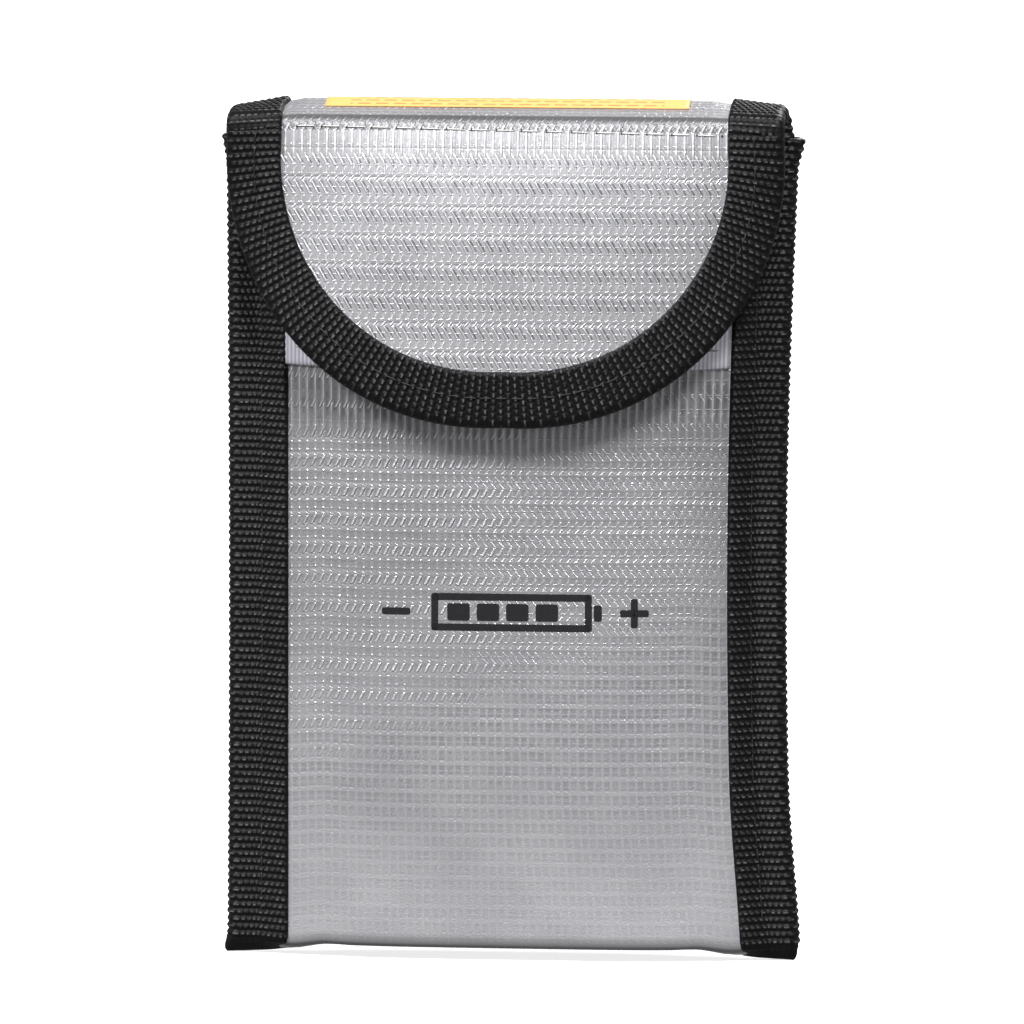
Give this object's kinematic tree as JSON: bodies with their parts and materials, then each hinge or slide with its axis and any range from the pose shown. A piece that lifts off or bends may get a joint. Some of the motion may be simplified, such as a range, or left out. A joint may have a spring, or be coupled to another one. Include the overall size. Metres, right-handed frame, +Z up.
{
  "type": "battery safe pouch",
  "caption": "Fire-resistant cloth pouch for a small battery pack, with webbing-bound side seams and a half-round flap that folds over the mouth and closes on hook-and-loop tape.",
  "frame": {"origin": "middle of the flat bottom, on the surface the pouch stands on", "axes": "+X across the pouch, -Y out of the front with the flap, +Z up towards the flap's fold"},
  "size_m": [0.105, 0.0257, 0.1589],
  "materials": {
    "silver_cloth": "aluminium-coated glass-fibre cloth, embossed, satin",
    "black_webbing": "ribbed woven polypropylene tape, matt",
    "loop_velour": "brushed loop pile",
    "hook_nylon": "moulded hooks, slightly glossy",
    "yellow_label": "printed film, satin",
    "black_thread": "polyester thread",
    "grey_thread": "polyester thread"
  },
  "bodies": {
    "body": {"body_shell": "silver_cloth", "body_liner": "silver_cloth", "side_binding_left": "black_webbing", "side_binding_right": "black_webbing", "neck_binding_left": "black_webbing", "neck_binding_right": "black_webbing", "mouth_hem": "silver_cloth", "hem_thread": "grey_thread", "loop_tape": "loop_velour", "loop_tape_thread": "grey_thread", "seam_thread_left_front": "black_thread", "seam_thread_left_back": "black_thread", "seam_thread_right_front": "black_thread", "seam_thread_right_back": "black_thread", "label_back": "yellow_label"},
    "top_strip": {"top_shell": "silver_cloth", "top_liner": "silver_cloth", "top_binding_left": "black_webbing", "top_binding_right": "black_webbing", "label_top": "yellow_label"},
    "flap": {"flap_shell": "silver_cloth", "flap_liner": "silver_cloth", "flap_binding": "black_webbing", "flap_binding_thread": "grey_thread", "fold_thread": "grey_thread", "hook_tape": "hook_nylon"}
  },
  "joints": [
    {"name": "top_fold", "type": "hinge", "parent": "body", "child": "top_strip", "pos_m": [0, 0.00077, 0.1578], "axis": [-1, 0, 0], "range_deg": [0, 140]},
    {"name": "flap_fold", "type": "hinge", "parent": "top_strip", "child": "flap", "pos_m": [0, -0.0116, 0.1542], "axis": [-1, 0, 0], "range_deg": [0, 70]}
  ],
  "couplings": [
    {"joint": "flap_fold", "follows": "top_fold", "ratio": 0.5}
  ]
}
